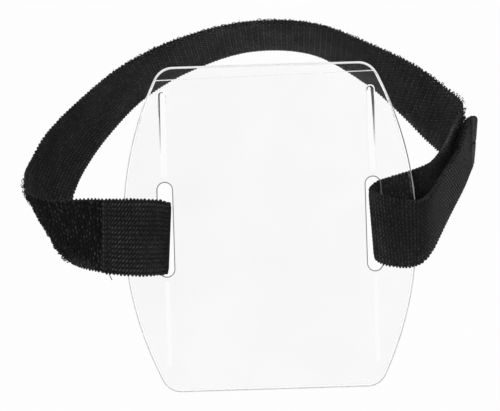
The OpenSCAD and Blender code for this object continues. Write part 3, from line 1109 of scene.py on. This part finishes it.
def threads(name, paths, radius, sides, material, tone=0.6):
    """Round threads along paths, as one piece, with one tone or a tone for each."""
    points, faces = tubes(paths, radius, sides)
    piece = new_piece(name, points, faces, [material], None)
    shade_smooth(piece)
    tones = np.broadcast_to(np.asarray(tone, float), (len(paths),))
    set_values(piece, "raised", tones.repeat(len(points) // len(paths)))
    return piece


def on_strap(row, s, w, h):
    """Points given along, across and out of the strap from one of its rows."""
    s, w, h = (np.asarray(x, float)[..., None] for x in (s, w, h))
    return middle[row] + s * along[row] + w * across[row] + h * out[row]


def row_of(length):
    """The row at a length along the strap."""
    return int(round(length / STRAP_L * LAST_ROW))


PILE_THREAD = 0.07
PILE_BASE = 0.15
PILE_TONE = 0.3
PILE_REACH = STRAP_W / 2 - 0.3
PILE_RISE = (0.25, 0.6)
PILE_SWING = (0.25, 0.5)


def on_pile(row, s, w, turn, swing, rise):
    """The path of a loop that stands out of the pile face, turned about its foot."""
    low = PILE_BASE - STRAP_T / 2 - bulge(s, w)
    return on_strap(row, swing * math.cos(turn), w + swing * math.sin(turn), low - rise)


def pile_loops(name, rows, count):
    """Small brushed loops that stand out of the pile face."""
    t = np.linspace(0, 1, 6)
    paths = []
    for row in rng.choice(rows, count):
        turn = rng.uniform(0, 2 * math.pi)
        w = rng.uniform(-PILE_REACH, PILE_REACH)
        rise = rng.uniform(*PILE_RISE)
        swing = (2 * t - 1) * rng.uniform(*PILE_SWING)
        paths.append(on_pile(row, place[row], w, turn, swing, rise * np.sin(math.pi * t)))
    return threads(name, paths, PILE_THREAD, 3, pile_fabric, PILE_TONE)


LOOP_ANGLES = np.linspace(-0.7, math.pi + 0.7, 9)
LOOP_VARIES = (0.6, 1.15)
FUZZ_THREAD = 0.11
FUZZ_STEM = 0.8
# Place along the strap and spread, place across it and spread, size, number of loops
FUZZ_PLACES = ((73, 3, 0, 12, 0.35, 90), (75, 6, 10.5, 2, 0.65, 45), (68, 6, -10, 2.5, 0.55, 40),
               (276.5, 4, 10, 2.5, 0.5, 45))


def fuzz(name):
    """Larger pulled loops where the pile face is rubbed on the bends."""
    paths = []
    for where, spread, middle_w, spread_w, size, count in FUZZ_PLACES:
        for _ in range(count):
            s = where + rng.uniform(-spread, spread)
            w = np.clip(middle_w + rng.uniform(-spread_w, spread_w), -PILE_REACH, PILE_REACH)
            r = size * rng.uniform(*LOOP_VARIES)
            turn = rng.uniform(0, 2 * math.pi)
            rise = r * (FUZZ_STEM + np.sin(LOOP_ANGLES))
            paths.append(on_pile(row_of(s), s, w, turn, r * np.cos(LOOP_ANGLES), rise))
    return threads(name, paths, FUZZ_THREAD, 4, pile_fabric, PILE_TONE)


EDGE_THREAD = 0.13
LOOP_PITCH = 1.8
LOOP_SIZE = 0.42
LOOP_TALL = (0.25, 190, 16)
LOOP_STEM = 0.7
LOOP_LEAN = 0.3


def edge_loops(name, start, end):
    """Open loops of yarn along the upper edge of the strap, tallest round the back."""
    paths = []
    for s in np.arange(start, end, LOOP_PITCH):
        size = LOOP_SIZE + patch(s, *LOOP_TALL)
        size *= rng.uniform(*LOOP_VARIES)
        rise = size * np.sin(LOOP_ANGLES)
        h = rng.uniform(-LOOP_LEAN, LOOP_LEAN) + rng.uniform(-LOOP_LEAN, LOOP_LEAN) * rise
        w = STRAP_W / 2 + size * LOOP_STEM + rise
        paths.append(on_strap(row_of(s), size * np.cos(LOOP_ANGLES), w, h))
    return threads(name, paths, EDGE_THREAD, 5, knit_fabric)


WRAP_REACH = 0.6
WRAP_THREAD = 0.32
WRAP_PROUD = 0.42
WRAP_VARIES = (0.75, 1.2)
WRAP_END = 0.8
WRAP_GAP = 0.2
WRAP_HALF_T = 0.35
WRAP_SLANT = 0.3
WRAP_TONE = 0.3
# Painted highlight on the edge yarn near the crest of the right bend
WRAP_HIGHLIGHT = (0.5, 287, 8)
WORN_DOWN = (0.7, 112, 22)


def edge_wraps(name, start, end):
    """Yarn that turns round both edges of the strap, a bump at each stitch, painted lighter near the crest
    of the right bend as a painted highlight.
    """
    turn = np.linspace(0, math.pi, 9)
    paths, tones = [], []
    for s in np.arange(math.ceil(start / SCALLOP_PITCH), end / SCALLOP_PITCH) * SCALLOP_PITCH:
        for side in (1, -1):
            worn = 1 - patch(s, *WORN_DOWN)
            reach = WRAP_REACH + WRAP_PROUD * rng.uniform(*WRAP_VARIES) * worn - WRAP_THREAD
            w = side * (half_width(s, side > 0) - WRAP_REACH + reach * np.sin(turn))
            paths.append(on_strap(row_of(s), WRAP_SLANT * np.cos(turn), w, WRAP_HALF_T * np.cos(turn)))
            tones.append(WRAP_TONE + patch(s, *WRAP_HIGHLIGHT))
    return threads(name, paths, WRAP_THREAD, 6, knit_fabric, tones)


STITCHES = 11
SEAM_MARGIN = 1.5
TAB_SEAM_INSET = 1.2
STITCH_PITCH = (STRAP_W - 2 * SEAM_MARGIN) / STITCHES
STITCH_L = 0.62 * STITCH_PITCH
STITCH_R = 0.16
STITCH_RISE = 0.3
STITCH_SINK = 0.2
SEWN_STEP = 2.1


def seam_paths(row, s, high, sign):
    """Stitches across the strap that dip into it at both ends, over a face at the given height."""
    t = np.linspace(0, 1, 7)
    rise = high + sign * (STITCH_RISE * np.sin(math.pi * t) - STITCH_SINK)
    paths = []
    for i in range(STITCHES):
        w = (i - (STITCHES - 1) / 2) * STITCH_PITCH + (t - 0.5) * STITCH_L
        paths.append(on_strap(row, np.full_like(t, s), w, rise))
    return paths


def loose_thread():
    """A cut thread end that hangs from the lower corner of the sewn end."""
    bends = [[-55.4, -13.4, 2.2], [-55.2, -14.4, 2.1], [-54.8, -15.4, 1.8], [-54.3, -16.5, 1.4]]
    return on_pocket(smooth(np.array(bends), 4))


def seams():
    """The seam that closes the strap round the left bar, and the loose thread at its end."""
    top, under = STRAP_T / 2, -SEWN_STEP - STRAP_T / 2
    paths = seam_paths(0, SEAM_INSET, top, 1) + seam_paths(0, SEAM_INSET, under, -1)
    seam = threads("band_stitches", paths, STITCH_R, 6, thread_black)
    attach(seam, "holder")
    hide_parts("band_seam")
    loose = threads("loose_thread", [loose_thread()], radius=0.14, sides=6,
                    material=thread_black)
    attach(loose, "holder")


HOOK_INSET = 1.84
HOOK_SEAT = STRAP_T / 2 + 0.15
HOOK_BASE = 0.5
HOOK_MARGIN = 0.8
HOOK_PITCH = 1.3
HOOK_THREAD = 0.11
HOOK_STAGGER = 0.3
HOOK_SINK = 0.05
TAPE_PITCH = 0.6
HOOK_SEAM_TONE = 1.1


def hook_tape():
    """The hook patch: a thin woven base with rows of small plastic hooks."""
    first, last = row_of(place[TAB_ROW] + HOOK_INSET), row_of(STRAP_L - HOOK_INSET)
    rows = np.arange(first, last + 1)
    half = STRAP_W / 2 - HOOK_MARGIN
    w, h = np.array(oval(-half, half, -HOOK_SEAT - HOOK_BASE, -HOOK_SEAT, power=8, count=24)).T
    points = np.stack([on_strap(row, np.zeros_like(w), w, h) for row in rows])
    faces = capped_faces(len(rows), len(w))
    base = new_piece("hook_tape_base", points, faces, [hook_plastic], None)
    face_outwards(base)
    set_values(base, "raised", np.tile(wave(w / TAPE_PITCH), len(rows)))
    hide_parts("hook_patch")
    return base, hooks(first, last, half)


def hooks(first, last, half):
    """Rows of bent hooks under the tape."""
    bend = np.array([[0, 0], [0, 0.35], [0.05, 0.55], [0.2, 0.68], [0.35, 0.6], [0.38, 0.45]])
    paths = []
    for k, s in enumerate(np.arange(place[first] + 0.6, place[last] - 0.9, HOOK_PITCH)):
        row = row_of(s)
        for w in np.arange(-half + 0.8, half - 0.6, HOOK_PITCH):
            lean = 1 if k % 2 else -1
            paths.append(on_strap(row, lean * bend[:, 0], np.full(len(bend), w + HOOK_STAGGER * (k % 2)),
                                  HOOK_SINK - HOOK_SEAT - HOOK_BASE - bend[:, 1]))
    return threads("hook_tape_hooks", paths, HOOK_THREAD, 5, hook_plastic)


BAND_CUTS = (0, 30, 110, 190, 270)
PILE_START = 52
PILE_END = 300
CORNER_START = 44
CORNER_END = 82
TAIL_PILE_START = 8


def bend_tail(piece):
    """Bakes the placement of a piece of the tail into its mesh."""
    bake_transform(piece)


def bend_tab(piece):
    """Bakes the placement of a piece of the tab into its mesh."""
    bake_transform(piece)


def band(skin):
    """The strap from its sewn end round the loop to the right slot."""
    names = ("sewn_end", "left_corner", "left_side", "right_side", "right_corner")
    cuts = [row_of(s) for s in BAND_CUTS] + [TAIL_ROW]
    for name, first, last in zip(names, cuts, cuts[1:]):
        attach(ribbon("strap_" + name, skin, first, last, "strap_band"), "holder")
    pile_rows = np.arange(row_of(PILE_START), row_of(PILE_END))
    corner_rows = np.arange(row_of(CORNER_START), row_of(CORNER_END))
    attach(pile_loops("band_pile", pile_rows, count=3600), "holder")
    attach(pile_loops("corner_pile", corner_rows, count=1400), "holder")
    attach(fuzz("band_fuzz"), "holder")
    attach(edge_loops("band_edge_loops", start=132, end=280), "holder")
    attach(edge_wraps("band_edge_yarn", WRAP_END, place[TAIL_ROW] - WRAP_GAP), "holder")


def tail(skin):
    """The free end in front of the right bar, and the tip with its hook patch."""
    start, tab_start = place[TAIL_ROW], place[TAB_ROW]
    bend_tail(ribbon("strap_tail_woven", skin, TAIL_ROW, TAB_ROW, "strap_tail"))
    bend_tail(edge_wraps("tail_edge_yarn", start + WRAP_GAP, tab_start - WRAP_GAP))
    pile_rows = np.arange(row_of(start + TAIL_PILE_START), TAB_ROW)
    bend_tail(pile_loops("tail_pile", pile_rows, count=500))
    bend_tab(ribbon("strap_tab_woven", skin, TAB_ROW, LAST_ROW, "strap_tab"))
    bend_tab(edge_wraps("tab_edge_yarn", tab_start + WRAP_GAP, STRAP_L - WRAP_END))
    base, hook_rows = hook_tape()
    paths = seam_paths(row_of(tab_start + HOOK_INSET), TAB_SEAM_INSET, STRAP_T / 2, 1)
    paths += seam_paths(row_of(STRAP_L - HOOK_INSET), -TAB_SEAM_INSET, STRAP_T / 2, 1)
    stitched = threads("hook_stitches", paths, STITCH_R, 6, thread_black, HOOK_SEAM_TONE)
    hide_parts("hook_seam")
    for piece in (base, hook_rows, stitched):
        bend_tab(piece)


def strap():
    """The elastic armband with its seams and its hook patch."""
    skin = strap_skin()
    band(skin)
    seams()
    tail(skin)


# Stage


LAMP_SIZE = 0.7
LAMP_TARGET = Vector((0, 0, 20)) * MM
LAMPS = (("key", (-500, -500, 900), 3.5), ("fill", (600, -200, 800), 2.5), ("front", (0, -1000, 350), 3))


def area_lamp(name, place_mm, watts):
    data = bpy.data.lights.new(name, "AREA")
    data.shape = "DISK"
    data.size = LAMP_SIZE
    data.energy = watts
    lamp = bpy.data.objects.new(name, data)
    lamp.location = Vector(place_mm) * MM
    lamp.rotation_euler = (LAMP_TARGET - lamp.location).to_track_quat("-Z", "Y").to_euler()
    bpy.context.scene.collection.objects.link(lamp)


def camera_rays(material):
    """1 for rays that a viewer sees directly, in gloss or through the vinyl."""
    path = add(material, "ShaderNodeLightPath").outputs
    seen = calculate(material, "MAXIMUM", path["Is Camera Ray"], path["Is Glossy Ray"])
    return calculate(material, "MAXIMUM", seen, path["Is Transmission Ray"])


FLOOR_R = 1500
WALL_R = 500
FLOOR_SHADOW = 0.015
FLOOR_WHITE = (0.95, 0.95, 0.95, 1.0)
FLOOR_ROUGH = 0.9
FLOOR_RING = 64
FLOOR_BENDS = 16


def floor():
    """A plain white floor that curves up all round and keeps a soft shadow."""
    material, shader, output = node_material("floor")
    feed(material, shader, {"Base Color": FLOOR_WHITE, "Roughness": FLOOR_ROUGH})
    glow = add(material, "ShaderNodeEmission", {"Color": (1.0, 1.0, 1.0, 1.0), "Strength": 1.0})
    share = calculate(material, "MULTIPLY", camera_rays(material), 1 - FLOOR_SHADOW)
    mix = add(material, "ShaderNodeMixShader", {0: share, 1: shader.outputs[0], 2: glow.outputs[0]})
    feed(material, output, {"Surface": mix.outputs[0]})
    bend = np.linspace(0, math.pi / 2, FLOOR_BENDS)
    reach = FLOOR_R + WALL_R * np.sin(bend)
    height = WALL_R * (1 - np.cos(bend))
    angle = np.arange(FLOOR_RING) * 2 * math.pi / FLOOR_RING
    rings = [np.stack([r * np.cos(angle), r * np.sin(angle), np.full(FLOOR_RING, z)], 1)
             for r, z in zip(reach, height)]
    faces = grid_faces(len(rings), FLOOR_RING).tolist() + [list(range(FLOOR_RING))]
    piece = new_piece("floor", rings, faces, [material], None)
    shade_smooth(piece)


WORLD_DIM = 0.12
WORLD_GREY = 0.5
DIM_END = 0.015
GREY_START = 0.05


def world():
    """Even grey studio light from above and behind, dimmer on the camera's side."""
    scene = bpy.context.scene
    scene.world = bpy.data.worlds.new("studio")
    scene.world.use_nodes = True
    back = scene.world.node_tree.nodes["Background"]
    direction = add(scene.world, "ShaderNodeTexCoord").outputs["Generated"]
    up_pocket = reach_along(scene.world, direction, V_AXIS.tolist())
    level = to_range(scene.world, up_pocket, DIM_END, GREY_START, WORLD_DIM, WORLD_GREY)
    feed(scene.world, back, {"Color": (1.0, 1.0, 1.0, 1.0), "Strength": level})


VIEW_U = -6.6
VIEW_V = 7.4
VIEW_DISTANCE = 700
VIEW_WIDTH = 170.5
VIEW_ROLL = math.radians(1.75)


def camera():
    """Square on to the pocket, as the photo was taken."""
    data = bpy.data.cameras.new("camera")
    data.sensor_width = 36
    data.lens = data.sensor_width * VIEW_DISTANCE / VIEW_WIDTH
    data.clip_start = 0.01
    data.clip_end = 10
    view = bpy.data.objects.new("camera", data)
    right = math.cos(VIEW_ROLL) * U_AXIS - math.sin(VIEW_ROLL) * V_AXIS
    up = math.sin(VIEW_ROLL) * U_AXIS + math.cos(VIEW_ROLL) * V_AXIS
    place_m = on_pocket([VIEW_U, VIEW_V, VIEW_DISTANCE]) * MM
    columns = np.eye(4)
    columns[:3] = np.stack([right, up, N_AXIS, place_m], 1)
    view.matrix_world = Matrix(columns.tolist())
    bpy.context.scene.collection.objects.link(view)
    bpy.context.scene.camera = view


def stage():
    floor()
    world()
    for name, place_mm, watts in LAMPS:
        area_lamp(name, place_mm, watts)
    camera()
    bpy.context.scene.view_settings.view_transform = "Standard"


stage()
pocket()
strap()
